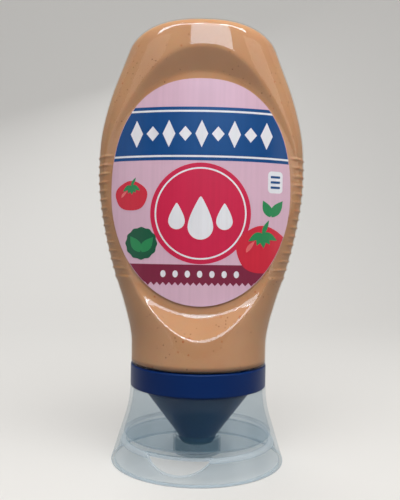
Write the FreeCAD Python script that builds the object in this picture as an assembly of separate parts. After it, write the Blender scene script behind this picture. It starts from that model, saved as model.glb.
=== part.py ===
"""A squeeze bottle of tomato sauce that stands on its flip lid.

The frame: millimetres, +Z up, the origin at the middle of the circle that the lid's rim stands on. The label faces
-Y. Everything is worked out from the driving dimensions below.
"""

import FreeCAD
import Part

import math
import os

Vector = FreeCAD.Vector
UP = Vector(0, 0, 1)

# ---- Driving dimensions ------------------------------------------------------------------------------------------
HEIGHT = 163.6              # lid rim to the bottle's closed end
WALL = 0.8                  # the bottle's wall
SHOULDER_Z = 37.4           # where the bottle meets the closure ring
NECK_R = 26.1               # round collar of the bottle, as wide as the ring

# The bottle's half width and half depth at a few heights, as it would be without the label panels.
OUTLINE = [
    # height, half width, half depth, squareness of the oval
    (37.4, 26.1, 26.1, 2.00),
    (48.0, 26.5, 25.3, 2.02),
    (60.0, 29.4, 23.9, 2.10),
    (73.0, 33.6, 22.2, 2.18),
    (87.0, 37.1, 20.6, 2.20),
    (101.0, 39.3, 20.0, 2.20),
    (112.0, 39.7, 20.3, 2.20),
    (124.0, 38.9, 21.0, 2.20),
    (138.0, 35.4, 22.0, 2.22),
    (151.0, 30.4, 22.9, 2.26),
    (164.0, 25.4, 22.2, 2.30),
]
END_CORNER_H = 7.5          # rounded corner at the closed end: its height
END_CORNER_W = 9.0          # and how far it comes in at the sides
END_CORNER_R = 3.7          # at the front and back the corner is tighter
END_DIMPLE_R = 60.0         # spherical dimple in the closed end
END_DIMPLE_DEPTH = 1.6

# Label panels, one at the front and one at the back: curved round the bottle only, so that a label lies flat on them.
PANEL_HALF_D = 19.4         # half depth of the oval cylinder that the panels follow
PANEL_HALF_W = 40.5
PANEL_Z = 100.6             # middle of the panel's oval edge
PANEL_EDGE_W = 36.5         # the oval where the panel ends
PANEL_EDGE_H = 44.0
PANEL_SLOPE_HIGH = 0.44     # slope of the wall round the panel, above its middle
PANEL_SLOPE_LOW = 0.70      # and below it
PANEL_FOOT = 0.01           # rounding at the wall's foot, as a share of the panel's oval
PANEL_BLEND = 0.2           # rounding at the wall's lip, and where the panel runs out into the bottle's sides

# Grip ribs on both sides, from label panel to label panel
RIB_PITCH = 3.2
RIB_LOW_Z = 70.0
RIB_HIGH_Z = 116.0
RIB_HEIGHT = 0.3            # how far a rib stands out
RIB_ROOT = 0.35             # how deep its foot is in the wall
RIB_CREST_W = 0.6           # width of a rib at its crest
RIB_FOOT_W = 1.6            # and at its foot
RIB_CLEAR_W = 34.6          # ribs stop at an oval with these half sizes, just outside the label
RIB_CLEAR_H = 43.0
RIB_STATIONS = 9

# Neck inside the closure
NECK_OUTER_R = 19.0
NECK_BORE_R = 17.2
NECK_END_Z = 31.4

# Label
LABEL_THICK = 0.15
LABEL_Z = 101.0             # widest point of the label
LABEL_HALF_W = 33.2
LABEL_TOP = 40.8
LABEL_BOTTOM = 41.0
LABEL_TOP_SQUARE = 2.35     # squareness of the upper half's curve
LABEL_BOTTOM_SQUARE = 2.0

# Closure: a ring, a funnel and a spout
CLOSURE_TURN = -13.0        # degrees that the closure and its lid are turned from facing the label
RING_R = 26.1
RING_TOP = 36.8
RING_LOW = 28.4
RING_WALL = 1.5
RING_ROUND = 0.5            # rounding of the ring's outer edges
NECK_GAP = 0.1              # between the neck and the closure's inner skirt
THREAD_WALL = 1.2
FUNNEL_WALL = 1.4
FUNNEL_TOP_R = 22.0
SPOUT_R = 7.4
SPOUT_SHOULDER_Z = 9.0
SPOUT_TIP_R = 6.2
SPOUT_TIP_Z = 6.4
ORIFICE_R = 2.6

# Lid
LID_TOP = 28.0
LID_RIM_R = 33.1
LID_WALL = 1.3
LID_BEND_Z = 17.0           # above this the skirt curves to upright
LID_FLARE = 17.2            # degrees
PLATE_TOP = 9.8
PLATE_THICK = 1.5
PLATE_ROUND = 1.2           # rounding where the plate meets the skirt
RIM_ROUND = 0.35            # rounding of the lid's rim
WELL_R = 8.4                # inside of the well that the spout dips into
WELL_CHAMFER = 0.8
WELL_WALL = 0.8
WELL_FLOOR_Z = 2.4
THUMB_HALF_W = 12.0         # thumb opening in the skirt: the lower part of an oval, up to the plate's top
THUMB_HALF_H = 8.0
THUMB_LOW = 3.3
THUMB_TOP = 9.4
PLATE_EDGE = 0.5            # how far the plate's edge stands into the opening

# Hinge between the closure and its lid: a short barrel on the lid's skirt, just outside the ring
HINGE_R = 1.0
HINGE_LENGTH = 9.0
HINGE_OUT = 0.2             # how far the hinge's axis lies outside the ring
HINGE_Z = 28.2
HINGE_GAP = 0.35
HINGE_LUG_H = 3.0           # lug that carries the barrel

# The net of control points that the bottle's smooth surface follows
SECTION_POINTS = 96
ROW_STEP = 1.2
CORNER_ROWS = 11
END_STEP = 0.6              # the last control row lies this far in on the flat end


# ---- The bottle's form -------------------------------------------------------------------------------------------
def spline(rows, column, z):
    """Smooth value of one column of a table at height z, with the slopes taken from the neighbouring rows."""
    last = len(rows) - 1
    i = 0
    while i < last - 1 and z > rows[i + 1][0]:
        i += 1

    def slope(k):
        low, high = max(k - 1, 0), min(k + 1, last)
        return (rows[high][column] - rows[low][column]) / (rows[high][0] - rows[low][0])

    step = rows[i + 1][0] - rows[i][0]
    t = (z - rows[i][0]) / step
    t2, t3 = t * t, t * t * t
    return (
        (2 * t3 - 3 * t2 + 1) * rows[i][column]
        + (t3 - 2 * t2 + t) * step * slope(i)
        + (3 * t2 - 2 * t3) * rows[i + 1][column]
        + (t3 - t2) * step * slope(i + 1)
    )


def soft_positive(value, width):
    """value where it is well above zero, nought well below it, and a rounded bend between."""
    return 0.5 * (value + math.sqrt(value * value + width * width))


def panel_depth(x, inset):
    """Half depth of the panels' oval cylinder at a distance x from the middle."""
    ratio = min(abs(x) / (PANEL_HALF_W - inset), 1.0)
    return (PANEL_HALF_D - inset) * math.sqrt(1 - ratio * ratio)


def recessed(depth, x, z, inset):
    """A point's depth on the bottle, brought back to the panel or to the wall that slopes up round it."""
    outside = math.hypot(x / PANEL_EDGE_W, (z - PANEL_Z) / PANEL_EDGE_H) - 1
    slope = PANEL_SLOPE_HIGH if z > PANEL_Z else PANEL_SLOPE_LOW
    wall = panel_depth(x, inset) + slope * PANEL_EDGE_H * soft_positive(outside, PANEL_FOOT)
    return depth - soft_positive(depth - wall, PANEL_BLEND)


def section_points(z, inset, shrink_w, shrink_d):
    """The bottle's outline at height z, moved in by inset and, at the end's corner, by the two shrinks."""
    half_w = spline(OUTLINE, 1, z) - inset - shrink_w
    half_d = spline(OUTLINE, 2, z) - inset - shrink_d
    power = 2 / spline(OUTLINE, 3, z)
    points = []
    for i in range(SECTION_POINTS):
        angle = 2 * math.pi * (i + 0.5) / SECTION_POINTS
        c, s = math.cos(angle), math.sin(angle)
        x = math.copysign(half_w * abs(c) ** power, c)
        depth = recessed(half_d * abs(s) ** power, x, z, inset)
        points.append(Vector(x, math.copysign(depth, s), z))
    return points


def closed_curve(points):
    """A smooth closed wire through points, with even knots, so that all sections of a loft share theirs."""
    curve = Part.BSplineCurve()
    knots = [i / len(points) for i in range(len(points) + 1)]
    curve.interpolate(Points=points, PeriodicFlag=True, Parameters=knots)
    return Part.Wire([curve.toShape()])


def stations(top):
    """Heights of the control rows, with how far each comes in at the sides and at the front for the end's corner."""
    corner_z = top - END_CORNER_H
    tight_z = top - END_CORNER_R
    count = round((corner_z - SHOULDER_Z) / ROW_STEP)
    rows = [(SHOULDER_Z + (corner_z - SHOULDER_Z) * i / count, 0.0, 0.0) for i in range(count + 1)]
    for i in range(1, CORNER_ROWS + 1):
        rise = math.sin(math.radians(90.0 * i / CORNER_ROWS))
        z = corner_z + END_CORNER_H * rise
        up = max(z - tight_z, 0.0) / END_CORNER_R
        shrink_w = END_CORNER_W * (1 - math.sqrt(1 - rise * rise))
        shrink_d = END_CORNER_R * (1 - math.sqrt(max(1 - up * up, 0.0)))
        rows.append((z, shrink_w, shrink_d))
    rows.append((top, END_CORNER_W + END_STEP, END_CORNER_R + END_STEP))
    return rows


def bottle_form(inset):
    """The closed body from its shoulder to its end, moved in by inset: one smooth surface and two flat ends."""
    net = [section_points(z, inset, w, d) for z, w, d in stations(HEIGHT - inset)]
    columns = [list(column) for column in zip(*net)]
    rows = len(net)
    surface = Part.BSplineSurface()
    surface.buildFromPolesMultsKnots(
        columns,
        [1] * (SECTION_POINTS + 1),
        [4] + [1] * (rows - 4) + [4],
        [i / SECTION_POINTS for i in range(SECTION_POINTS + 1)],
        [i / (rows - 3) for i in range(rows - 2)],
        True,
        False,
        3,
        3,
    )
    side = surface.toShape()
    faces = [side]
    for edge in side.Edges:
        if edge.BoundBox.ZLength < 0.001:
            faces.append(Part.Face(Part.Wire([edge])))
    shell = Part.makeShell(faces)
    shell.sewShape()
    body = Part.makeSolid(shell)
    dimple_z = HEIGHT + END_DIMPLE_R - END_DIMPLE_DEPTH
    return body.cut(Part.makeSphere(END_DIMPLE_R + inset, Vector(0, 0, dimple_z)))


def cylinder(radius, low, high):
    return Part.makeCylinder(radius, high - low, Vector(0, 0, low))


def revolve(outline):
    """A solid turned about the Z axis from (radius, height) points."""
    points = [Vector(r, 0, z) for r, z in outline]
    face = Part.Face(Part.makePolygon(points + points[:1]))
    return face.revolve(Vector(0, 0, 0), UP, 360)


def turned(shape):
    """The shape turned with the closure."""
    return shape.rotated(Vector(0, 0, 0), UP, CLOSURE_TURN)


def round_off(shape, spots, radius):
    """Round the level circular edges of a turned solid that pass through the given (radius, height) spots."""
    near = 0.01
    edges = []
    for edge in shape.Edges:
        box = edge.BoundBox
        for r, z in spots:
            if box.ZLength < near and abs(box.ZMin - z) < near and abs(box.XMax - r) < near:
                edges.append(edge)
    return shape.makeFillet(radius, edges)


# ---- Bottle, sauce and label -------------------------------------------------------------------------------------
def cavity():
    """The room inside the bottle and its neck."""
    overlap = 0.5
    inside = bottle_form(WALL)
    floor = Part.makeBox(200, 200, WALL, Vector(-100, -100, SHOULDER_Z))
    bore = cylinder(NECK_BORE_R, NECK_END_Z, SHOULDER_Z + WALL + overlap)
    return inside.cut(floor).fuse(bore)


def rib(z, side):
    """One grip rib: a low bead that follows the bottle's side and sinks into it at both ends."""
    clear = RIB_CLEAR_W * math.sqrt(1 - ((z - LABEL_Z) / RIB_CLEAR_H) ** 2)
    half_w = spline(OUTLINE, 1, z)
    half_d = spline(OUTLINE, 2, z)
    squareness = spline(OUTLINE, 3, z)
    power = 2 / squareness
    reach = math.acos((clear / half_w) ** (1 / power))
    root = -RIB_HEIGHT - RIB_ROOT
    slope = RIB_CREST_W / RIB_FOOT_W
    wires = []
    for i in range(RIB_STATIONS):
        along = 2.0 * i / (RIB_STATIONS - 1) - 1
        c, s = math.cos(along * reach), math.sin(along * reach)
        x = half_w * c ** power
        depth = half_d * abs(s) ** power
        normal = Vector(
            side * (x / half_w) ** (squareness - 1) / half_w,
            math.copysign((depth / half_d) ** (squareness - 1) / half_d, s),
            0,
        )
        normal.normalize()
        foot = Vector(side * x, math.copysign(recessed(depth, x, z, 0.0), s), z)
        proud = RIB_HEIGHT * (1 - along ** 4)
        corners = []
        for out, wide in ((proud + root, -1), (proud, -slope), (proud, slope), (proud + root, 1)):
            corners.append(foot + normal * out + UP * (wide * RIB_FOOT_W / 2))
        wires.append(Part.makePolygon(corners + corners[:1]))
    return Part.makeLoft(wires, True, False)


def make_bottle(inside):
    overlap = 0.5
    count = int((RIB_HIGH_Z - RIB_LOW_Z) / RIB_PITCH) + 1
    ribs = [rib(RIB_LOW_Z + i * RIB_PITCH, side) for i in range(count) for side in (-1, 1)]
    outside = bottle_form(0.0).fuse(ribs)
    neck = cylinder(NECK_OUTER_R, NECK_END_Z, SHOULDER_Z + overlap)
    return outside.fuse(neck).cut(inside)


def make_sauce(inside):
    """The sauce: it fills the bottle, the neck and the funnel down to the spout's mouth."""
    overlap = 0.5
    funnel = revolve([
        (0, NECK_END_Z + overlap),
        (NECK_BORE_R, NECK_END_Z + overlap),
        (NECK_BORE_R, RING_LOW),
        (SPOUT_R - FUNNEL_WALL, SPOUT_SHOULDER_Z),
        (ORIFICE_R, SPOUT_TIP_Z + FUNNEL_WALL),
        (ORIFICE_R, SPOUT_TIP_Z),
        (0, SPOUT_TIP_Z),
    ])
    return inside.fuse(funnel)


def label_outline():
    """The label's egg-shaped edge, as a closed wire in the plane y = 0."""
    points = []
    count = 48
    for i in range(count):
        angle = 2 * math.pi * i / count
        c, s = math.cos(angle), math.sin(angle)
        power = 2 / (LABEL_TOP_SQUARE if s > 0 else LABEL_BOTTOM_SQUARE)
        height = LABEL_TOP if s > 0 else LABEL_BOTTOM
        x = math.copysign(LABEL_HALF_W * abs(c) ** power, c)
        z = LABEL_Z + math.copysign(height * abs(s) ** power, s)
        points.append(Vector(x, 0, z))
    return closed_curve(points)


def make_label():
    """A film on the front panel: the slice of an oval tube that lies behind the label's outline."""
    block = Part.Face(label_outline()).extrude(Vector(0, -60, 0))
    gap = 0.08
    outer = panel_tube(gap + LABEL_THICK)
    inner = panel_tube(gap)
    return block.common(outer.cut(inner))


def panel_tube(grow):
    """The panels' oval cylinder, made fatter by grow."""
    ellipse = Part.Ellipse(Vector(0, 0, 0), PANEL_HALF_W + grow, PANEL_HALF_D + grow)
    face = Part.Face(Part.Wire([ellipse.toShape()]))
    face.translate(Vector(0, 0, SHOULDER_Z))
    return face.extrude(Vector(0, 0, HEIGHT - SHOULDER_Z))


# ---- Closure and lid ---------------------------------------------------------------------------------------------
def make_closure():
    """Ring, funnel and spout in one moulding."""
    deck_top = RING_LOW + FUNNEL_WALL
    thread_r = NECK_OUTER_R + NECK_GAP
    outline = [
        (RING_R, RING_TOP),
        (RING_R, RING_LOW),
        (FUNNEL_TOP_R, RING_LOW),
        (SPOUT_R, SPOUT_SHOULDER_Z),
        (SPOUT_R - 0.3, SPOUT_TIP_Z + 1.2),
        (SPOUT_TIP_R, SPOUT_TIP_Z),
        (ORIFICE_R, SPOUT_TIP_Z),
        (ORIFICE_R, SPOUT_TIP_Z + FUNNEL_WALL),
        (SPOUT_R - FUNNEL_WALL, SPOUT_SHOULDER_Z),
        (NECK_BORE_R, RING_LOW),
        (NECK_BORE_R, NECK_END_Z - NECK_GAP),
        (thread_r, NECK_END_Z - NECK_GAP),
        (thread_r, RING_TOP - 1.0),
        (thread_r + THREAD_WALL, RING_TOP - 1.0),
        (thread_r + THREAD_WALL, deck_top),
        (RING_R - RING_WALL, deck_top),
        (RING_R - RING_WALL, RING_TOP),
    ]
    closure = round_off(revolve(outline), [(RING_R, RING_TOP), (RING_R, RING_LOW)], RING_ROUND)
    return turned(closure.cut(hinge_pocket()))


def hinge_pocket():
    """Room in the ring for the lid's hinge barrel, at the back before the closure is turned."""
    length = HINGE_LENGTH + 2 * HINGE_GAP
    start = Vector(-length / 2, RING_R + HINGE_OUT, HINGE_Z)
    return Part.makeCylinder(HINGE_R + HINGE_GAP, length, start, Vector(1, 0, 0))


def skirt_inner(z):
    """Inner radius of the skirt's straight part at height z."""
    flare = math.radians(LID_FLARE)
    return LID_RIM_R - math.tan(flare) * z - LID_WALL / math.cos(flare)


def lid_profile():
    """Half section of the lid: its skirt, the plate across it and the well in the plate's middle."""
    flare = math.radians(LID_FLARE)
    bend_r = (LID_TOP - LID_BEND_Z) / math.sin(flare)
    slope = math.tan(flare)
    bend_outer = LID_RIM_R - slope * LID_BEND_Z
    top_outer = bend_outer - bend_r * (1 - math.cos(flare))
    in_r = LID_WALL * math.cos(flare)
    in_z = LID_WALL * math.sin(flare)

    def point(r, z):
        return Vector(r, 0, z)

    def arc(a, m, b):
        return Part.Arc(a, m, b).toShape()

    def line(a, b):
        return Part.LineSegment(a, b).toShape()

    centre_r = top_outer + bend_r
    half = flare / 2
    outer_top = point(top_outer, LID_TOP)
    outer_mid = point(centre_r - bend_r * math.cos(half), LID_TOP - bend_r * math.sin(half))
    outer_low = point(bend_outer, LID_BEND_Z)
    inner_bend = bend_r + LID_WALL
    inner_top = point(top_outer - LID_WALL, LID_TOP)
    inner_mid = point(centre_r - inner_bend * math.cos(half), LID_TOP - inner_bend * math.sin(half))
    inner_low = point(bend_outer - in_r, LID_BEND_Z - in_z)
    under = PLATE_TOP - PLATE_THICK
    well_out = WELL_R + WELL_WALL
    rim = [point(skirt_inner(0), 0), point(LID_RIM_R, 0)]
    corners = [
        inner_low,
        point(skirt_inner(PLATE_TOP), PLATE_TOP),
        point(WELL_R + WELL_CHAMFER, PLATE_TOP),
        point(WELL_R, PLATE_TOP - WELL_CHAMFER),
        point(WELL_R, WELL_FLOOR_Z + WELL_WALL),
        point(0, WELL_FLOOR_Z + WELL_WALL),
        point(0, WELL_FLOOR_Z),
        point(well_out, WELL_FLOOR_Z),
        point(well_out, under),
        point(skirt_inner(under), under),
        rim[0],
        rim[1],
        outer_low,
    ]
    edges = [arc(outer_low, outer_mid, outer_top), line(outer_top, inner_top), arc(inner_top, inner_mid, inner_low)]
    for a, b in zip(corners, corners[1:]):
        edges.append(line(a, b))
    return Part.Face(Part.Wire(Part.__sortEdges__(edges)))


def make_lid():
    lid = lid_profile().revolve(Vector(0, 0, 0), UP, 360)
    under = PLATE_TOP - PLATE_THICK
    lid = round_off(lid, [(skirt_inner(PLATE_TOP), PLATE_TOP), (skirt_inner(under), under)], PLATE_ROUND)
    lid = round_off(lid, [(LID_RIM_R, 0), (skirt_inner(0), 0)], RIM_ROUND)
    lid = lid.cut(thumb_cutter())
    return turned(lid.fuse(hinge_lug()))


def hinge_lug():
    """The barrel and the sloping lug that carries it, in one piece with the lid's skirt."""
    axis_y = RING_R + HINGE_OUT
    outer = Vector(0, axis_y + HINGE_R, HINGE_Z)
    top = Vector(0, axis_y, HINGE_Z + HINGE_R)
    inner = Vector(0, axis_y - HINGE_R, HINGE_Z)
    foot_z = HINGE_Z - HINGE_LUG_H
    foot_in = Vector(0, axis_y - HINGE_R - 0.2, foot_z)
    foot_out = Vector(0, RING_R - LID_WALL / 2, foot_z)
    edges = [
        Part.Arc(outer, top, inner).toShape(),
        Part.LineSegment(inner, foot_in).toShape(),
        Part.LineSegment(foot_in, foot_out).toShape(),
        Part.LineSegment(foot_out, outer).toShape(),
    ]
    face = Part.Face(Part.Wire(edges))
    face.translate(Vector(-HINGE_LENGTH / 2, 0, 0))
    return face.extrude(Vector(HINGE_LENGTH, 0, 0))


def thumb_cutter():
    """A U-shaped tool that cuts through the skirt at its front and leaves the plate's edge bare."""
    reach = 40.0
    oval = Part.Ellipse(Vector(0, 0, 0), THUMB_HALF_W, THUMB_HALF_H).toShape()
    tool = Part.Face(Part.Wire([oval])).extrude(Vector(0, 0, reach))
    tool.rotate(Vector(0, 0, 0), Vector(1, 0, 0), 90)
    tool.translate(Vector(0, 0, THUMB_LOW + THUMB_HALF_H))
    above = Part.makeBox(2 * reach, reach, reach, Vector(-reach, -reach, THUMB_TOP))
    plate_edge = cylinder(skirt_inner(PLATE_TOP) + PLATE_EDGE, 0, PLATE_TOP)
    return tool.cut(above).cut(plate_edge)


def main():
    os.makedirs("parts", exist_ok=True)
    inside = cavity()
    nodes = {
        "bottle": make_bottle(inside),
        "sauce": make_sauce(inside),
        "label": make_label(),
        "closure": make_closure(),
        "lid": make_lid(),
    }
    for name, shape in nodes.items():
        shape.exportStep("parts/" + name + ".step")
        print(name, shape.isValid(), len(shape.Solids), round(shape.Volume / 1000, 2), "cm3")


main()
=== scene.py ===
"""The looks of a squeeze bottle of tomato sauce that stands on its flip lid.

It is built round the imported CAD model: metres, +Z up, the label faces -Y. The sizes repeat the
part's own, in millimetres, and MM turns them into metres.
"""

import math

import bmesh
import bpy
import numpy as np
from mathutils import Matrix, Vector


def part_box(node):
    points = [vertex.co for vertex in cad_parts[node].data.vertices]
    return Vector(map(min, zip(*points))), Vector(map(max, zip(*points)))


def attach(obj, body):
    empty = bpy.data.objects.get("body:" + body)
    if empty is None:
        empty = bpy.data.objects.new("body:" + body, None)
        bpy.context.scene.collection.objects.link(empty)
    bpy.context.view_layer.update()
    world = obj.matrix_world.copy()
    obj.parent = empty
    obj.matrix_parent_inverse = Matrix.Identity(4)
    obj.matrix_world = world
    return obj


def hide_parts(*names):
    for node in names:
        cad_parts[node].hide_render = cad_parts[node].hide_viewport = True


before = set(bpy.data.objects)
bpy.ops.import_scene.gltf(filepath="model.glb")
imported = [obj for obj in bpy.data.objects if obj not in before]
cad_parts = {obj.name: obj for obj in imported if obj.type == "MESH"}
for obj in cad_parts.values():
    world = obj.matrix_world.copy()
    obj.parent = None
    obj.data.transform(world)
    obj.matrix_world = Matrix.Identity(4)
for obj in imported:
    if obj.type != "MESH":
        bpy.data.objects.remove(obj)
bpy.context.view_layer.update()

MM = 0.001

# ---- Sizes of the bottle, in millimetres ---------------------------------------------------------
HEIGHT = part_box("bottle")[1].z / MM
WALL = 0.8
SHOULDER_Z, SHOULDER_R = 37.4, 26.05         # the foot of the side, down in the closure
SHOULDER_ROUND, SHOULDER_DROP = 0.6, 0.1    # its corner: how far it turns in, and how far down
OUTLINE = np.array([
    # height, half width, half depth, squareness of the oval
    (37.4, 26.1, 26.1, 2.00),
    (48.0, 26.5, 25.3, 2.02),
    (60.0, 29.4, 23.9, 2.10),
    (73.0, 33.6, 22.2, 2.18),
    (87.0, 37.1, 20.6, 2.20),
    (101.0, 39.3, 20.0, 2.20),
    (112.0, 39.7, 20.3, 2.20),
    (124.0, 38.9, 21.0, 2.20),
    (138.0, 35.4, 22.0, 2.22),
    (151.0, 30.4, 22.9, 2.26),
    (164.0, 25.4, 22.2, 2.30),
])
SKIN = 0.06                     # the looks lie this far inside the CAD's form
SAUCE_DEPTH = 0.4               # the sauce reaches into the wall, to this far below the outer skin
END_CORNER_H, END_CORNER_W = 7.5, 9.0       # the wide corner at the closed end's sides
END_CORNER_R = 3.7                          # and the tight one at its front and back
DIMPLE_R, DIMPLE_DEPTH, DIMPLE_BLEND = 60.0, 1.6, 0.05
PANEL_HALF_D, PANEL_HALF_W = 19.4, 40.5
PANEL_Z, PANEL_EDGE_W, PANEL_EDGE_H = 100.6, 36.5, 44.0
PANEL_SLOPE_HIGH, PANEL_SLOPE_LOW = 0.44, 0.70
PANEL_FOOT, PANEL_BLEND = 0.01, 0.2
AROUND_START = 0.001            # keeps every point off the axes, where the oval's curve is level
LIP_HEIGHTS = ((46.0, 60.0), (141.0, 155.0))    # where the panel's walls run out
RIB_PITCH, RIB_LOW_Z, RIB_HIGH_Z, RIB_HEIGHT = 3.2, 70.0, 114.8, 0.3
RIB_CREST_W, RIB_BASE_W, RIB_BEND, RIB_FADE, RIB_MARGIN = 0.6, 1.1, 0.3, 0.05, 1.5
RIB_CLEAR_W, RIB_CLEAR_H = 34.6, 43.0       # half sizes of the oval that the ribs leave clear
NECK_OUTER_R, NECK_BORE_R, NECK_END_Z, NECK_FACE_R = 19.0, 17.2, 31.4, 23.0
FUNNEL = [(17.2, 28.4), (6.0, 9.0), (2.6, 7.8), (2.6, 6.4)]     # radius, height, down to the mouth

LABEL_Z, LABEL_HALF_W, LABEL_TOP, LABEL_BOTTOM = 101.0, 33.2, 40.8, 41.0
LABEL_TOP_SQUARE, LABEL_BOTTOM_SQUARE = 2.35, 2.0
LABEL_FILM, LABEL_BED, INK = 0.12, 0.115, 0.021     # film, level of the print, one layer of print
LABEL_MARGIN = 0.15             # the print stays this far inside the label's edge
FILM_STEP, FILM_CUTS = 1.2, 29  # upright cuts that let a film bend round the panel
BELT_Z, BELT_HALF_H, BELT_LINE_Z = 122.0, 9.6, 8.1
LOZENGE_PITCH, LOZENGE_HALF_W, LOZENGE_TALL, LOZENGE_LOW = 5.9, 2.3, 4.9, 2.7
ROUNDEL_Z, ROUNDEL_R, ROUNDEL_RING_R, ROUNDEL_FIELD_R = 93.4, 18.2, 16.6, 16.0
PILL_X, PILL_Z, PILL_BAR_PITCH = 27.2, 105.4, 1.9

LID_TURN = math.radians(-13.0)              # the closure's turn about the bottle's axis
LID_FLARE = 0.31                            # how fast the skirt narrows upwards
LID_INNER_R = 32.35                         # the skirt's inner side, carried down to the foot
LID_SEAMS = ((10.3, 0.55), (7.8, 0.7))      # the plate's two edges: height and half height
LID_SEAM_R = 27.3                           # the edges show outside this radius
LID_RIM_Z, LID_RIM_SHARE = 0.9, 0.9
LID_WELL_R, LID_WELL_SHARE = 9.6, 0.16
LID_PLATE_Z = 9.6
THUMB_HALF_W, THUMB_HALF_H, THUMB_Z = 12.0, 8.0, 11.3       # an oval, cut off by the plate
THUMB_FRONT = -27.5                         # it lies in front of this


# ---- Shader helpers ------------------------------------------------------------------------------
def srgb(r, g, b):
    """A colour written as 0 to 255 display values, as the shader wants it."""
    def linear(v):
        v /= 255.0
        return v / 12.92 if v <= 0.04045 else ((v + 0.055) / 1.055) ** 2.4
    return (linear(r), linear(g), linear(b), 1.0)


class Nodes:
    """A material's node tree, with short ways to add and join nodes."""

    def __init__(self, name):
        self.material = bpy.data.materials.new(name)
        self.material.use_nodes = True
        self.tree = self.material.node_tree
        self.tree.nodes.clear()
        self.output = self.add("ShaderNodeOutputMaterial")
        self.place = self.add("ShaderNodeTexCoord").outputs["Object"]

    def add(self, kind, **settings):
        node = self.tree.nodes.new(kind)
        for key, value in settings.items():
            setattr(node, key, value)
        return node

    def link(self, source, target):
        self.tree.links.new(source, target)

    def noise(self, scale, detail, stretch=None):
        node = self.add("ShaderNodeTexNoise")
        node.inputs["Scale"].default_value = scale
        node.inputs["Detail"].default_value = detail
        source = self.place
        if stretch:
            mapping = self.add("ShaderNodeMapping")
            mapping.inputs["Scale"].default_value = stretch
            self.link(self.place, mapping.inputs["Vector"])
            source = mapping.outputs["Vector"]
        self.link(source, node.inputs["Vector"])
        return node.outputs["Fac"]

    def spots(self, scale, size, soft):
        """One in small round spots that lie at random, nought elsewhere."""
        node = self.add("ShaderNodeTexVoronoi")
        node.inputs["Scale"].default_value = scale
        self.link(self.place, node.inputs["Vector"])
        return self.ramp(node.outputs["Distance"], size + soft, size, 0.0, 1.0)

    def ramp(self, value, low, high, out_low, out_high):
        node = self.add("ShaderNodeMapRange", clamp=True)
        node.inputs["From Min"].default_value = low
        node.inputs["From Max"].default_value = high
        node.inputs["To Min"].default_value = out_low
        node.inputs["To Max"].default_value = out_high
        self.link(value, node.inputs["Value"])
        return node.outputs["Result"]

    def maths(self, operation, a, b=0.0):
        node = self.add("ShaderNodeMath", operation=operation)
        for socket, value in zip(node.inputs, (a, b)):
            if isinstance(value, (int, float)):
                socket.default_value = value
            else:
                self.link(value, socket)
        return node.outputs["Value"]

    def product(self, a, b):
        return self.maths("MULTIPLY", a, b)

    def span(self, a, b):
        """The length of a pair (a, b)."""
        return self.maths("SQRT", self.maths("ADD", self.product(a, a), self.product(b, b)))

    def mix(self, share, low, high):
        """Two colours, or a colour socket and a colour, mixed by a socket."""
        node = self.add("ShaderNodeMix", data_type="RGBA")
        self.link(share, node.inputs[0])
        for socket, value in ((node.inputs[6], low), (node.inputs[7], high)):
            if isinstance(value, tuple):
                socket.default_value = value
            else:
                self.link(value, socket)
        return node.outputs[2]

    def bump(self, height, strength, distance):
        node = self.add("ShaderNodeBump")
        node.inputs["Strength"].default_value = strength
        node.inputs["Distance"].default_value = distance
        self.link(height, node.inputs["Height"])
        return node.outputs["Normal"]

    def surface(self, colour, roughness, normal=None, **fixed):
        """A Principled shader: colour and roughness may be sockets, and the rest is fixed."""
        node = self.add("ShaderNodeBsdfPrincipled")
        for name, value in (("Base Color", colour), ("Roughness", roughness)):
            if hasattr(value, "links"):
                self.link(value, node.inputs[name])
            else:
                node.inputs[name].default_value = value
        if normal is not None:
            self.link(normal, node.inputs["Normal"])
        for name, value in fixed.items():
            node.inputs[name.replace("_", " ")].default_value = value
        return node.outputs["BSDF"]

    def pane(self, tint, roughness, low, high, normal):
        """A tinted see-through shader with a gloss: low and high are its reflecting shares."""
        see = self.add("ShaderNodeBsdfTransparent")
        see.inputs["Color"].default_value = tint
        gloss = self.add("ShaderNodeBsdfGlossy")
        gloss.inputs["Roughness"].default_value = roughness
        self.link(normal, gloss.inputs["Normal"])
        share = self.gloss_share(low, high, normal)
        return self.blend(share, see.outputs["BSDF"], gloss.outputs["BSDF"])

    def gloss_share(self, low, high, normal):
        """Reflecting share of a clear surface: low seen straight on, high seen edge on."""
        facing = self.add("ShaderNodeLayerWeight")
        facing.inputs["Blend"].default_value = 0.5
        self.link(normal, facing.inputs["Normal"])
        return self.ramp(self.maths("POWER", facing.outputs["Facing"], 4.0), 0.0, 1.0, low, high)

    def blend(self, share, first, second):
        node = self.add("ShaderNodeMixShader")
        if hasattr(share, "links"):
            self.link(share, node.inputs["Fac"])
        else:
            node.inputs["Fac"].default_value = share
        self.link(first, node.inputs[1])
        self.link(second, node.inputs[2])
        return node.outputs["Shader"]

    def done(self, shader):
        self.link(shader, self.output.inputs["Surface"])
        return self.material


# ---- Materials -----------------------------------------------------------------------------------
def clear_plastic():
    """Thin clear PET: what is behind it shows, with a gloss on top."""
    n = Nodes("clear_pet")
    normal = n.bump(n.noise(38.0, 1.5), 0.05, 0.0006)
    return n.done(n.pane(srgb(252, 250, 247), 0.06, 0.036, 0.32, normal))


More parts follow.
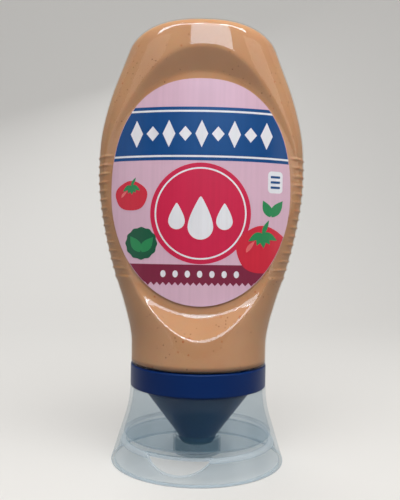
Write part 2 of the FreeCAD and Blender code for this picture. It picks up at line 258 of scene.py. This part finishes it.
def sauce():
    """Smooth orange-tan sauce in paler clouds, with fine dark flecks and a few orange seeds."""
    n = Nodes("sauce")
    cloud = n.ramp(n.noise(45.0, 3.0), 0.3, 0.7, 0.0, 1.0)
    colour = n.mix(cloud, srgb(197, 149, 112), srgb(205, 159, 121))
    patch = n.ramp(n.noise(170.0, 1.0), 0.52, 0.62, 0.0, 0.75)
    fleck = n.product(n.spots(620.0, 0.12, 0.08), patch)
    colour = n.mix(fleck, colour, srgb(128, 76, 48))
    patch = n.ramp(n.noise(90.0, 1.0), 0.55, 0.62, 0.0, 0.7)
    seed = n.product(n.spots(300.0, 0.09, 0.06), patch)
    colour = n.mix(seed, colour, srgb(186, 92, 50))
    return n.done(n.surface(colour, 0.5, Specular_IOR_Level=0.05, Subsurface_Weight=0.4,
                            Subsurface_Radius=(1.0, 0.4, 0.2), Subsurface_Scale=0.0012))


def navy_plastic():
    """Moulded navy polypropylene with a satin gloss."""
    n = Nodes("navy_plastic")
    smudge = n.noise(60.0, 3.0)
    colour = n.mix(smudge, srgb(0, 34, 90), srgb(1, 42, 100))
    roughness = n.ramp(smudge, 0.3, 0.7, 0.28, 0.40)
    grain = n.bump(n.noise(900.0, 2.0), 0.05, 0.0001)
    return n.done(n.surface(colour, roughness, grain, Specular_IOR_Level=0.12))


def thick_share(n):
    """Up to one where the lid is thick or shows a cut face, nought elsewhere; in millimetres."""
    split = n.add("ShaderNodeSeparateXYZ")
    n.link(n.place, split.inputs["Vector"])
    x, y, z = (n.maths("DIVIDE", split.outputs[axis], MM) for axis in "XYZ")
    radius = n.span(x, y)

    def band(value, middle, half):
        away = n.maths("ABSOLUTE", n.maths("SUBTRACT", value, middle))
        return n.ramp(away, half * 1.25, half * 0.75, 0.0, 1.0)

    # the two edges of the plate, seen on the inner side of the skirt
    skirt = n.maths("ADD", radius, n.product(z, LID_FLARE))
    inner = n.product(n.ramp(skirt, LID_INNER_R - 0.15, LID_INNER_R + 0.15, 1.0, 0.0),
                      n.ramp(radius, LID_SEAM_R - 0.3, LID_SEAM_R + 0.3, 0.0, 1.0))
    seams = n.product(n.maths("ADD", *(band(z, *seam) for seam in LID_SEAMS)), inner)
    rim = n.product(n.ramp(z, LID_RIM_Z, LID_RIM_Z - 0.5, 0.0, 1.0), LID_RIM_SHARE)
    well = n.product(n.ramp(radius, LID_WELL_R, LID_WELL_R - 0.3, 0.0, 1.0), LID_WELL_SHARE)
    # the cut faces of the thumb opening, at the front of the lid but turned with the closure
    c, s = math.cos(LID_TURN), math.sin(LID_TURN)
    across = n.maths("ADD", n.product(x, c), n.product(y, s))
    front = n.maths("SUBTRACT", n.product(y, c), n.product(x, s))
    oval = n.span(n.maths("DIVIDE", across, THUMB_HALF_W),
                  n.maths("DIVIDE", n.maths("SUBTRACT", z, THUMB_Z), THUMB_HALF_H))
    cut = n.product(band(oval, 1.0, 0.03),
                    n.ramp(front, THUMB_FRONT + 0.5, THUMB_FRONT - 0.5, 0.0, 1.0))
    cut = n.product(cut, n.ramp(z, LID_PLATE_Z, LID_PLATE_Z - 0.3, 0.0, 1.0))
    return n.maths("MAXIMUM", n.maths("MAXIMUM", seams, rim), n.maths("MAXIMUM", well, cut))


def hazy_plastic():
    """Natural polypropylene: hazy enough for the spout to show through, whiter where thick."""
    n = Nodes("hazy_plastic")
    thick = thick_share(n)
    normal = n.bump(n.noise(420.0, 2.0), 0.06, 0.0002)
    tint = n.mix(thick, srgb(122, 196, 228), srgb(230, 238, 244))
    milk = n.surface(tint, 0.4, normal, Specular_IOR_Level=0.3)
    through = n.add("ShaderNodeBsdfTranslucent")
    n.link(tint, through.inputs["Color"])
    body = n.blend(0.5, milk, through.outputs["BSDF"])
    clear = n.pane(srgb(243, 246, 248), 0.12, 0.012, 0.3, normal)
    thin = n.ramp(n.noise(70.0, 2.0), 0.3, 0.7, 0.028, 0.045)
    haze = n.maths("ADD", thin, n.product(thick, 0.48))
    return n.done(n.blend(haze, clear, body))


def printed_film(name, colour):
    """Printed label film: a field of ink with fine upright streaks and a satin varnish."""
    n = Nodes(name)
    streak = n.noise(900.0, 2.0, stretch=(1.0, 1.0, 0.02))
    soft = n.noise(55.0, 2.0)
    dark = tuple(c * 0.94 for c in colour[:3]) + (1.0,)
    tint = n.mix(n.ramp(n.product(streak, soft), 0.15, 0.35, 0.0, 1.0), dark, colour)
    return n.done(n.surface(tint, 0.36, n.bump(streak, 0.05, 0.00005), Specular_IOR_Level=0.2,
                            Coat_Weight=0.12, Coat_Roughness=0.15))


# ---- The bottle's form ---------------------------------------------------------------------------
def spline(column, z):
    """Smooth value of one column of OUTLINE at heights z."""
    heights, values = OUTLINE[:, 0], OUTLINE[:, column]
    slopes = np.empty_like(values)
    slopes[1:-1] = (values[2:] - values[:-2]) / (heights[2:] - heights[:-2])
    slopes[0] = (values[1] - values[0]) / (heights[1] - heights[0])
    slopes[-1] = (values[-1] - values[-2]) / (heights[-1] - heights[-2])
    i = np.clip(np.searchsorted(heights, z) - 1, 0, len(heights) - 2)
    step = heights[i + 1] - heights[i]
    t = (z - heights[i]) / step
    t2, t3 = t * t, t * t * t
    return ((2 * t3 - 3 * t2 + 1) * values[i] + (t3 - 2 * t2 + t) * step * slopes[i]
            + (3 * t2 - 2 * t3) * values[i + 1] + (t3 - t2) * step * slopes[i + 1])


def soft_positive(value, width):
    """value where it is well above zero, nought well below it, and a rounded bend between."""
    return 0.5 * (value + np.sqrt(value * value + width * width))


def soft_ramp(t, width):
    """Nought below zero, one above one and straight between, with both bends rounded."""
    return soft_positive(t, width) - soft_positive(t - 1, width)


def panel_depth(x, inset=0.0):
    """Half depth of the oval cylinder that the label panels follow."""
    ratio = np.clip(np.abs(x) / (PANEL_HALF_W - inset), 0.0, 1.0)
    return (PANEL_HALF_D - inset) * np.sqrt(1 - ratio * ratio)


def recessed(depth, x, z, inset):
    """Depths on the bottle, brought back to the panel or to the wall that slopes up round it."""
    outside = np.hypot(x / PANEL_EDGE_W, (z - PANEL_Z) / PANEL_EDGE_H) - 1
    slope = PANEL_SLOPE_HIGH if z > PANEL_Z else PANEL_SLOPE_LOW
    wall = panel_depth(x, inset) + slope * PANEL_EDGE_H * soft_positive(outside, PANEL_FOOT)
    return depth - soft_positive(depth - wall, PANEL_BLEND)


def rib_height(x, z):
    """How far the grip ribs stand out: low beads outside the label's oval, fading at both ends."""
    last = round((RIB_HIGH_Z - RIB_LOW_Z) / RIB_PITCH)
    nearest = np.clip(round((z - RIB_LOW_Z) / RIB_PITCH), 0, last)
    away = abs(z - RIB_LOW_Z - nearest * RIB_PITCH)
    bead = 1 - soft_ramp((away - RIB_CREST_W / 2) / (RIB_BASE_W / 2 - RIB_CREST_W / 2), RIB_BEND)
    outside = np.hypot(x / RIB_CLEAR_W, (z - LABEL_Z) / RIB_CLEAR_H) - 1
    return RIB_HEIGHT * bead * np.clip(outside / RIB_FADE, 0.0, 1.0)


def section(z, turn, inset, shrink_w=0.0, shrink_d=0.0, ribbed=False):
    """Points of the bottle's outline at one height: turn holds the angles round it."""
    half_w = spline(1, z) - inset - shrink_w
    half_d = spline(2, z) - inset - shrink_d
    power = 2 / spline(3, z)
    c, s = np.cos(turn), np.sin(turn)
    x = np.sign(c) * half_w * np.abs(c) ** power
    y = np.sign(s) * recessed(half_d * np.abs(s) ** power, x, z, inset)
    if ribbed:
        out = rib_height(x, z)
        side = np.stack([np.gradient(y), -np.gradient(x)])
        side /= np.linalg.norm(side, axis=0)
        side *= np.sign(side[0] * x + side[1] * y)
        x, y = x + side[0] * out, y + side[1] * out
    return np.stack([x, y, np.full_like(x, z)], axis=1)


def ring(radius, z, turn):
    """Points of a round row."""
    return np.stack([radius * np.cos(turn), radius * np.sin(turn), np.full_like(turn, z)], axis=1)


def side_rows(inset, turn, fine, coarse, ribbed=False):
    """Rows from the shoulder up the side and round the end's corner, fine where the form bends."""
    top = HEIGHT - inset
    corner_z = top - END_CORNER_H
    tight_z = top - END_CORNER_R
    z = SHOULDER_Z + (inset if inset > SKIN else 0.0)
    rows = []
    while z < corner_z - coarse / 2:
        rows.append(section(z, turn, inset, ribbed=ribbed))
        beaded = ribbed and RIB_LOW_Z - RIB_MARGIN < z < RIB_HIGH_Z + RIB_MARGIN
        lipped = any(low < z < high for low, high in LIP_HEIGHTS)
        z += fine if beaded or lipped else coarse
    for angle in np.linspace(0, math.pi / 2, 20):
        rise = math.sin(angle)
        up = max(corner_z + END_CORNER_H * rise - tight_z, 0.0) / END_CORNER_R
        shrink_w = END_CORNER_W * (1 - math.cos(angle))
        shrink_d = END_CORNER_R * (1 - math.sqrt(max(1 - up * up, 0.0)))
        rows.append(section(corner_z + END_CORNER_H * rise, turn, inset, shrink_w, shrink_d))
    return rows


def end_rows(edge, inset):
    """Rows from the closed end's edge to its middle, with the shallow dimple."""
    rows = []
    for share in np.linspace(0.97, 0.02, 22):
        row = edge * [share, share, 1.0]
        r = np.hypot(row[:, 0], row[:, 1])
        fall = DIMPLE_DEPTH - (DIMPLE_R - np.sqrt(DIMPLE_R ** 2 - r ** 2))
        row[:, 2] = HEIGHT - inset - soft_positive(fall, DIMPLE_BLEND)
        rows.append(row)
    return rows


def skin_mesh(name, rows):
    """A closed mesh from rows of points, shut by a point at each end."""
    count = len(rows[0])
    first, last = rows[0].mean(axis=0), rows[-1].mean(axis=0)
    points = np.concatenate(rows + [[first], [last]]) * MM
    start, end = len(rows) * count, len(rows) * count + 1
    faces = []
    for r in range(len(rows) - 1):
        for i in range(count):
            j = (i + 1) % count
            a, b = r * count, (r + 1) * count
            faces.append((a + i, a + j, b + j, b + i))
    for i in range(count):
        j = (i + 1) % count
        faces.append((start, j, i))
        tail = (len(rows) - 1) * count
        faces.append((end, tail + i, tail + j))
    mesh = bpy.data.meshes.new(name)
    mesh.from_pydata(points.tolist(), [], faces)
    turned = bmesh.new()
    turned.from_mesh(mesh)
    bmesh.ops.recalc_face_normals(turned, faces=turned.faces)
    turned.to_mesh(mesh)
    turned.free()
    mesh.shade_smooth()
    return add_object(name, mesh)


def add_object(name, data):
    obj = bpy.data.objects.new(name, data)
    bpy.context.scene.collection.objects.link(obj)
    return obj


def finish_piece(obj, material, node=None):
    """Give a piece its material and attach it to the bottle's body, and hide the CAD node that it
    replaces, if any.
    """
    obj.data.materials.append(material)
    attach(obj, "bottle")
    if node:
        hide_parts(node)


def make_shell(material):
    """The bottle: outer skin, shoulder, neck and inner skin in one closed mesh."""
    around = np.linspace(0, 2 * math.pi, 276, endpoint=False) + AROUND_START
    outer = side_rows(SKIN, around, fine=0.4, coarse=1.6, ribbed=True)
    inner = side_rows(WALL, around, fine=4.0, coarse=4.0)
    rows = end_rows(outer[-1], SKIN)[::-1] + outer[::-1]
    for angle in np.linspace(0.2, math.pi / 2, 5):
        radius = SHOULDER_R - SHOULDER_ROUND * (1 - math.cos(angle))
        rows.append(ring(radius, SHOULDER_Z - SHOULDER_DROP * math.sin(angle), around))
    face_z = SHOULDER_Z - SHOULDER_DROP
    rows += [ring(radius, face_z, around) for radius in (NECK_FACE_R, NECK_OUTER_R)]
    rows += [ring(radius, NECK_END_Z, around) for radius in (NECK_OUTER_R, NECK_BORE_R)]
    rows += [ring(NECK_BORE_R, SHOULDER_Z + WALL, around)]
    rows += inner + end_rows(inner[-1], WALL)
    finish_piece(skin_mesh("bottle_shell", rows), material, node="bottle")


def make_sauce(material):
    """The sauce, reaching into the clear wall all round, with the neck and the funnel below."""
    reach = WALL - SAUCE_DEPTH
    around = np.linspace(0, 2 * math.pi, 240, endpoint=False) + AROUND_START
    side = side_rows(SAUCE_DEPTH, around, fine=0.4, coarse=1.6, ribbed=True)
    rows = end_rows(side[-1], SAUCE_DEPTH)[::-1] + side[::-1]
    rows += [ring(NECK_BORE_R + reach, z, around) for z in (SHOULDER_Z + WALL - reach, NECK_END_Z)]
    rows += [ring(radius, z, around) for radius, z in FUNNEL]
    finish_piece(skin_mesh("sauce_fill", rows), material, node="sauce")


# ---- The label -----------------------------------------------------------------------------------
# Flat outlines are lists of (x, z) points in millimetres; film() lays them on the curved panel.
def egg(angle, margin):
    """Point of the label's egg-shaped edge, moved in by margin."""
    c, s = math.cos(angle), math.sin(angle)
    power = 2 / (LABEL_TOP_SQUARE if s > 0 else LABEL_BOTTOM_SQUARE)
    height = (LABEL_TOP if s > 0 else LABEL_BOTTOM) - margin
    x = math.copysign((LABEL_HALF_W - margin) * abs(c) ** power, c)
    return (x, LABEL_Z + math.copysign(height * abs(s) ** power, s))


def egg_edge(margin=0.0, count=120):
    return [egg(2 * math.pi * i / count, margin) for i in range(count)]


def cut_to_label(outline):
    """The part of an outline that lies on the label."""
    edge = egg_edge(LABEL_MARGIN)
    for (ax, az), (bx, bz) in zip(edge, edge[1:] + edge[:1]):
        def inside(p):
            return (bx - ax) * (p[1] - az) - (bz - az) * (p[0] - ax)
        kept = []
        for p, q in zip(outline, outline[1:] + outline[:1]):
            here, there = inside(p), inside(q)
            if here >= 0:
                kept.append(p)
            if (here >= 0) != (there >= 0):
                t = here / (here - there)
                kept.append((p[0] + t * (q[0] - p[0]), p[1] + t * (q[1] - p[1])))
        outline = kept
    return outline


def disc(x, z, half_w, half_h=None, lobes=0, dent=0.0, turn=0.0):
    """An oval, with lobes if asked."""
    half_h = half_h or half_w
    count = 72
    points = []
    for i in range(count):
        angle = 2 * math.pi * i / count
        grow = 1 + dent * math.cos(lobes * (angle - turn))
        points.append((x + half_w * grow * math.cos(angle), z + half_h * grow * math.sin(angle)))
    return points


def rounded(x, z, half_w, half_h, corner):
    """A rectangle with round corners, with points close enough for film() to bend it."""
    steps, spacing = 8, 1.5
    points = []
    for cx, cz, start in ((1, 1, 0), (-1, 1, 90), (-1, -1, 180), (1, -1, 270)):
        for i in range(steps + 1):
            angle = math.radians(start + 90 * i / steps)
            points.append((cx * (half_w - corner) + corner * math.cos(angle),
                           cz * (half_h - corner) + corner * math.sin(angle)))
    dense = []
    for p, q in zip(points, points[1:] + points[:1]):
        parts = max(1, int(math.hypot(q[0] - p[0], q[1] - p[1]) / spacing))
        for i in range(parts):
            dense.append((p[0] + (q[0] - p[0]) * i / parts, p[1] + (q[1] - p[1]) * i / parts))
    return [(x + u, z + v) for u, v in dense]


def leaf(x, z, length, half_w, turn, bend=0.0):
    """A pointed leaf that starts at (x, z) and runs at an angle of turn degrees."""
    c, s = math.cos(math.radians(turn)), math.sin(math.radians(turn))
    count = 14
    shares = [i / count for i in range(count + 1)]

    def edge(t, side):
        return t * length, bend * t * t + side * half_w * math.sin(math.pi * t ** 0.8)

    points = [edge(t, 1) for t in shares] + [edge(t, -1) for t in shares[-2:0:-1]]
    return [(x + c * u - s * v, z + s * u + c * v) for u, v in points]


def drop(x, z, half_w, tall):
    """A drop: round below and pointed above; z is the middle of its round part."""
    count = 48
    points = []
    for i in range(count):
        angle = 2 * math.pi * i / count
        up = math.sin(angle)
        narrow = 1.0 if up < 0 else 1 - up ** 1.5
        rise = half_w * up if up < 0 else (tall - half_w) * up
        points.append((x + half_w * math.cos(angle) * (0.35 + 0.65 * narrow), z + rise))
    return points


def toothed(x, top, low, half_w, tooth, count):
    """A strip whose lower edge is cut in a zigzag."""
    points = [(x - half_w, top), (x + half_w, top)]
    for i in range(count, 0, -1):
        points.append((x - half_w + 2 * half_w * i / count, low + tooth))
        points.append((x - half_w + 2 * half_w * (i - 0.5) / count, low))
    return points + [(x - half_w, low + tooth)]


def film(name, outlines, low, high, material, node=None):
    """Flat outlines laid on the front panel as one thin film, from low to high above the panel."""
    flat = bmesh.new()
    for outline in outlines:
        flat.faces.new([flat.verts.new((x, 0.0, z)) for x, z in outline])
    for i in range(-FILM_CUTS, FILM_CUTS + 1):
        bmesh.ops.bisect_plane(flat, geom=flat.verts[:] + flat.edges[:] + flat.faces[:],
                               dist=1e-5, plane_co=(i * FILM_STEP, 0, 0), plane_no=(1, 0, 0))
    bmesh.ops.triangulate(flat, faces=flat.faces)
    made = bmesh.ops.extrude_face_region(flat, geom=flat.faces[:])
    under = {v for v in made["geom"] if isinstance(v, bmesh.types.BMVert)}
    for v in flat.verts:
        v.co.y = -float(panel_depth(v.co.x)) - (low if v in under else high)
    bmesh.ops.recalc_face_normals(flat, faces=flat.faces)
    bmesh.ops.scale(flat, vec=(MM, MM, MM), verts=flat.verts)
    mesh = bpy.data.meshes.new(name)
    flat.to_mesh(mesh)
    flat.free()
    finish_piece(add_object(name, mesh), material, node)


def tomato(x, z, size):
    """Outlines of a tomato, its calyx, its stalk and a glint."""
    body = disc(x, z, size, size * 0.9, lobes=5, dent=0.022, turn=math.pi / 2)
    crown = z + size * 0.62
    sepals = ((200, 0.62, 0.9), (238, 0.5, 0.5), (275, 0.55, 0.0),     # turn, reach, bend
              (312, 0.5, -0.5), (345, 0.62, -0.9))
    calyx = [leaf(x, crown, size * reach, size * 0.13, turn, bend) for turn, reach, bend in sepals]
    stalk = leaf(x, crown - size * 0.05, size * 0.62, size * 0.09, 72, -0.6)
    glint = leaf(x - size * 0.62, z - size * 0.1, size * 0.55, size * 0.08, 62, -0.8)
    return body, calyx, stalk, glint


def layer(name, level, material, outlines):
    """One layer of print, cut to the label's edge; a higher level lies on a lower one."""
    low = LABEL_BED + INK * level
    film(name, [cut_to_label(outline) for outline in outlines], low, low + INK, material)


def make_label():
    """The label's film and its print: plain fields of colour and simple shapes, in thin layers."""
    pink = printed_film("print_pink", srgb(218, 181, 201))
    pale = printed_film("print_pale", srgb(233, 234, 240))
    blue = printed_film("print_blue", srgb(0, 70, 134))
    red = printed_film("print_red", srgb(206, 32, 74))
    maroon = printed_film("print_maroon", srgb(126, 36, 64))
    fruit = printed_film("print_fruit", srgb(208, 40, 62))
    glow = printed_film("print_glow", srgb(226, 110, 112))
    green = printed_film("print_green", srgb(42, 138, 84))
    dark_green = printed_film("print_dark_green", srgb(24, 88, 62))
    film("label_film", [egg_edge()], 0.0, LABEL_FILM, pink, node="label")

    # a blue belt from edge to edge with two pale lines and a row of lozenges
    past_edge = 40.0
    layer("belt", 0, blue, [rounded(0, BELT_Z, past_edge, BELT_HALF_H, 0.5)])
    lines = [rounded(0, BELT_Z + side * BELT_LINE_Z, past_edge, 0.35, 0.1) for side in (-1, 1)]
    lozenges = []
    for i in range(-4, 5):
        x = LOZENGE_PITCH * i
        tall = LOZENGE_TALL if i % 2 == 0 else LOZENGE_LOW
        lozenges.append([(x - LOZENGE_HALF_W, BELT_Z), (x, BELT_Z - tall),
                         (x + LOZENGE_HALF_W, BELT_Z), (x, BELT_Z + tall)])
    layer("belt_motif", 1, pale, lines + lozenges)

    # a maroon belt with a toothed edge and a row of beads
    layer("low_belt", 0, maroon, [toothed(0, 75.0, 67.4, 33.0, 1.2, 30)])
    layer("low_beads", 1, pale, [disc(4.4 * i, 71.6, 0.95, 1.25) for i in range(-3, 4)])

    # a red roundel with a pale ring and three drops
    layer("roundel", 1, red, [disc(0, ROUNDEL_Z, ROUNDEL_R)])
    layer("roundel_ring", 2, pale, [disc(0, ROUNDEL_Z, ROUNDEL_RING_R)])
    layer("roundel_field", 3, red, [disc(0, ROUNDEL_Z, ROUNDEL_FIELD_R)])
    drops = [drop(-8.6, 90.6, 3.0, 9.5), drop(0, 88.6, 4.6, 15.5), drop(8.6, 90.6, 3.0, 9.5)]
    layer("drops", 4, pale, drops)

    # two tomatoes, a round green mark, a leaf pair and a pale pill with bars
    big, big_calyx, big_stalk, big_glint = tomato(22.6, 80.6, 9.6)
    small, small_calyx, small_stalk, small_glint = tomato(-25.4, 99.6, 6.0)
    layer("fruit", 2, fruit, [big, small])
    layer("fruit_green", 3, green, big_calyx + small_calyx)
    layer("fruit_stalk", 3, green, [big_stalk, small_stalk])
    layer("fruit_glint", 3, glow, [big_glint, small_glint])
    layer("mark", 2, dark_green, [disc(-21.4, 82.4, 5.8, lobes=12, dent=0.03)])
    layer("mark_leaves", 3, green, [leaf(-21.8, 79.2, 6.8, 1.8, 118, 0.6),
                                    leaf(-21.1, 79.2, 6.8, 1.8, 58, -0.6)])
    layer("leaf_pair", 1, green, [leaf(26.0, 92.6, 7.4, 1.8, 62, -0.8),
                                  leaf(25.4, 92.6, 6.6, 1.7, 108, 0.8)])
    layer("pill", 0, pale, [rounded(PILL_X, PILL_Z, 2.8, 4.0, 1.4)])
    bars = [rounded(PILL_X, PILL_Z + PILL_BAR_PITCH * i, 1.8, 0.42, 0.2) for i in (-1, 0, 1)]
    layer("pill_bars", 1, blue, bars)


# ---- CAD pieces that stay ------------------------------------------------------------------------
def dress_node(name, material):
    """Give a CAD piece its material; its shape stays."""
    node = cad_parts[name]
    node.data.materials.clear()
    node.data.materials.append(material)
    for polygon in node.data.polygons:
        polygon.use_smooth = True


# ---- Stage ---------------------------------------------------------------------------------------
def stage_paint():
    """Pale to the camera and in reflections; the light it throws back is brown, as the board's."""
    n = Nodes("stage_paint")
    rays = n.add("ShaderNodeLightPath").outputs
    seen = n.maths("MAXIMUM", rays["Is Camera Ray"], rays["Is Transmission Ray"])
    seen = n.maths("MAXIMUM", seen, rays["Is Glossy Ray"])
    colour = n.mix(seen, srgb(78, 62, 50), srgb(176, 174, 171))
    glow = n.add("ShaderNodeEmission")
    glow.inputs["Color"].default_value = srgb(228, 226, 222)
    n.link(n.product(seen, 0.42), glow.inputs["Strength"])
    both = n.add("ShaderNodeAddShader")
    n.link(n.surface(colour, 0.75, Specular_IOR_Level=0.2), both.inputs[0])
    n.link(glow.outputs["Emission"], both.inputs[1])
    return n.done(both.outputs["Shader"])


def make_stage():
    """A pale floor that sweeps up behind the bottle."""
    front, back, half_w, bend, tall = -1.2, 0.9, 2.4, 0.5, 1.8
    steps = 12
    profile = [(front, 0.0), (back - bend, 0.0)]
    for i in range(1, steps + 1):
        angle = math.pi / 2 * i / steps
        profile.append((back - bend + bend * math.sin(angle), bend - bend * math.cos(angle)))
    profile.append((back, tall))
    points = [(side * half_w, y, z) for y, z in profile for side in (-1, 1)]
    faces = [(2 * i, 2 * i + 1, 2 * i + 3, 2 * i + 2) for i in range(len(profile) - 1)]
    mesh = bpy.data.meshes.new("stage_sweep")
    mesh.from_pydata(points, [], faces)
    mesh.shade_smooth()
    mesh.materials.append(stage_paint())
    add_object("stage_sweep", mesh)


def area_light(name, place, aim, size, power, colour):
    lamp = bpy.data.lights.new(name, "AREA")
    lamp.shape = "RECTANGLE"
    lamp.size, lamp.size_y = size
    lamp.energy = power
    lamp.color = colour
    obj = add_object(name, lamp)
    obj.location = place
    obj.rotation_euler = (Vector(aim) - Vector(place)).to_track_quat("-Z", "Y").to_euler()
    return obj


def window(name, azimuth, elevation, wide, tall, radiance):
    """A far window, placed and sized in degrees, that shows only in glossy surfaces."""
    far = 1.2
    turn, rise = math.radians(azimuth), math.radians(elevation)
    aim = Vector((0, -0.02, 0.08))
    level = math.cos(rise)
    place = aim + far * Vector((level * math.sin(turn), -level * math.cos(turn), math.sin(rise)))
    size = [2 * far * math.tan(math.radians(angle) / 2) for angle in (wide, tall)]
    power = radiance * math.pi * size[0] * size[1]
    lamp = area_light(name, place, aim, size, power, (0.75, 1.0, 1.2))
    lamp.visible_diffuse = False
    lamp.visible_transmission = False
    lamp.visible_volume_scatter = False


def make_lights():
    """Soft lamps all round, and the windows that show in the photograph's highlights."""
    middle = (0, 0, 0.09)
    for name, place, size, power, colour, shows in (
            ("overhead", (0.05, -0.32, 0.58), (0.6, 0.4), 4.35, (1.0, 0.99, 0.97), False),
            ("fill_left", (-0.75, -0.5, 0.34), (0.6, 0.7), 1.3, (0.97, 0.98, 1.0), True),
            ("fill_right", (0.8, -0.35, 0.34), (0.5, 0.7), 1.8, (1.0, 0.98, 0.96), True),
            ("back_soft", (-0.25, 0.66, 0.62), (0.6, 0.4), 3.0, (0.98, 0.99, 1.0), False)):
        lamp = area_light(name, place, middle, size, power, colour)
        lamp.visible_glossy = shows
    window("window", 9, 37, 34, 34, 8.5)
    window("window_left", -34, 48, 46, 7, 20.0)
    window("window_right", 43, 48, 32, 7, 20.0)
    world = bpy.data.worlds.new("studio_air")
    world.use_nodes = True
    air = world.node_tree.nodes["Background"]
    air.inputs["Color"].default_value = (0.9, 0.92, 0.95, 1)
    air.inputs["Strength"].default_value = 0.16
    bpy.context.scene.world = world


def make_camera():
    """Level with the middle of the bottle and close to it, as the photograph was taken."""
    lens = bpy.data.cameras.new("camera")
    lens.sensor_width = 36.0
    lens.lens = 44.6
    lens.clip_start = 0.01
    obj = add_object("camera", lens)
    obj.location = (0.0, -0.2412, 0.0803)
    obj.rotation_euler = (math.pi / 2, math.radians(-0.9), 0.0)     # turned, as the bottle lies
    bpy.context.scene.camera = obj


make_shell(clear_plastic())
make_sauce(sauce())
make_label()
dress_node("closure", navy_plastic())
dress_node("lid", hazy_plastic())
make_stage()
make_lights()
make_camera()
bpy.context.scene.view_settings.view_transform = "Standard"
